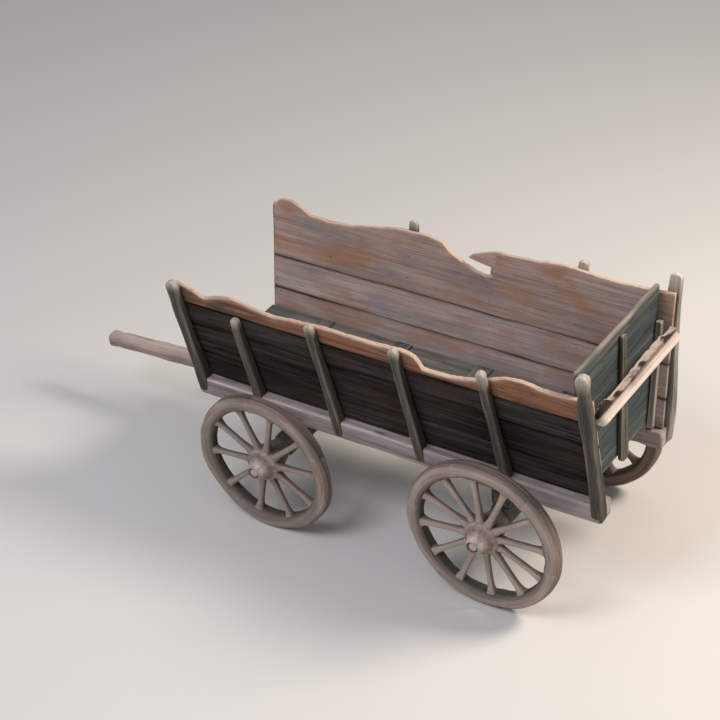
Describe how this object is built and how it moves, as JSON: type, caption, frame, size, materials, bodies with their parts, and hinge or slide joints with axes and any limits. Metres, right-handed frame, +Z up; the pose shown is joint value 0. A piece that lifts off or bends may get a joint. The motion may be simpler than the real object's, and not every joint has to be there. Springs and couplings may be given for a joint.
{
  "type": "mine cart",
  "caption": "Timber cart with flared plank sides, an open front, spoked wheels, a steering front carriage, a lifting drawbar and a lift-out tailgate.",
  "frame": {"origin": "on the ground, under the middle of the overall length and width", "axes": "+X along the drawbar, the way the cart is pulled; +Y to the cart's left; +Z up"},
  "size_m": [3.9745, 1.536, 1.7747],
  "materials": {
    "wheel_wood": "weathered bare wood, pinkish beige",
    "sill_wood": "weathered bare wood, grey",
    "stake_wood": "weathered bare wood, grey-green",
    "side_board": "weathered dark board, fine horizontal cracks",
    "top_board": "weathered orange-brown board",
    "floor_wood": "weathered grey plank",
    "tailgate_wood": "weathered teal-grey board",
    "under_wood": "weathered dark timber",
    "iron": "dull dark iron"
  },
  "bodies": {
    "bed": {"left_sill": "sill_wood", "right_sill": "sill_wood", "cross_bearers": "under_wood", "floor_plank_1": "floor_wood", "floor_plank_2": "floor_wood", "floor_plank_3": "floor_wood", "floor_plank_4": "floor_wood", "floor_battens": "floor_wood", "left_board_1": "side_board", "left_board_2": "side_board", "left_board_3": "side_board", "left_board_4": "top_board", "right_board_1": "side_board", "right_board_2": "side_board", "right_board_3": "top_board", "left_stake_1": "stake_wood", "left_stake_2": "stake_wood", "left_stake_3": "stake_wood", "left_stake_4": "stake_wood", "left_stake_5": "stake_wood", "left_stake_6": "stake_wood", "right_stake_1": "stake_wood", "right_stake_2": "stake_wood", "right_stake_3": "stake_wood", "right_stake_4": "stake_wood", "right_stake_5": "stake_wood", "right_stake_6": "stake_wood", "tailgate_cleats": "tailgate_wood", "rear_crossbar": "wheel_wood", "rear_bolster": "under_wood", "rear_axle": "under_wood", "rear_linchpins": "iron", "front_bolster": "under_wood", "upper_wear_plate": "iron", "king_pin": "iron"},
    "carriage": {"front_axle": "under_wood", "lower_wear_plate": "iron", "left_hound": "under_wood", "right_hound": "under_wood", "drawbar_rest": "under_wood", "drawbar_bolt": "iron", "front_linchpins": "iron"},
    "drawbar_body": {"drawbar": "wheel_wood"},
    "front_left_wheel": {"front_left_nave": "wheel_wood", "front_left_spokes": "wheel_wood", "front_left_felloes": "wheel_wood"},
    "front_right_wheel": {"front_right_nave": "wheel_wood", "front_right_spokes": "wheel_wood", "front_right_felloes": "wheel_wood"},
    "rear_left_wheel": {"rear_left_nave": "wheel_wood", "rear_left_spokes": "wheel_wood", "rear_left_felloes": "wheel_wood"},
    "rear_right_wheel": {"rear_right_nave": "wheel_wood", "rear_right_spokes": "wheel_wood", "rear_right_felloes": "wheel_wood"},
    "tailgate": {"tailgate_strip": "tailgate_wood", "tailgate_boards": "tailgate_wood", "tailgate_cap": "tailgate_wood", "tailgate_batten": "tailgate_wood"}
  },
  "joints": [
    {"name": "steering", "type": "hinge", "parent": "bed", "child": "carriage", "pos_m": [0.24773, 0, 0.63], "axis": [0, 0, 1], "range_deg": [-12, 12]},
    {"name": "drawbar_lift", "type": "hinge", "parent": "carriage", "child": "drawbar_body", "pos_m": [0.44272, 0, 0.586], "axis": [0, -1, 0], "range_deg": [0, 15]},
    {"name": "front_left_spin", "type": "hinge", "parent": "carriage", "child": "front_left_wheel", "pos_m": [0.24773, 0.641, 0.474], "axis": [0, 1, 0], "continuous": true},
    {"name": "front_right_spin", "type": "hinge", "parent": "carriage", "child": "front_right_wheel", "pos_m": [0.24773, -0.641, 0.474], "axis": [0, 1, 0], "continuous": true},
    {"name": "rear_left_spin", "type": "hinge", "parent": "bed", "child": "rear_left_wheel", "pos_m": [-1.28828, 0.641, 0.5], "axis": [0, 1, 0], "continuous": true},
    {"name": "rear_right_spin", "type": "hinge", "parent": "bed", "child": "rear_right_wheel", "pos_m": [-1.28828, -0.641, 0.5], "axis": [0, 1, 0], "continuous": true},
    {"name": "tailgate_lift", "type": "slide", "parent": "bed", "child": "tailgate", "axis": [0, 0, 1], "range_m": [0, 0.6]}
  ]
}
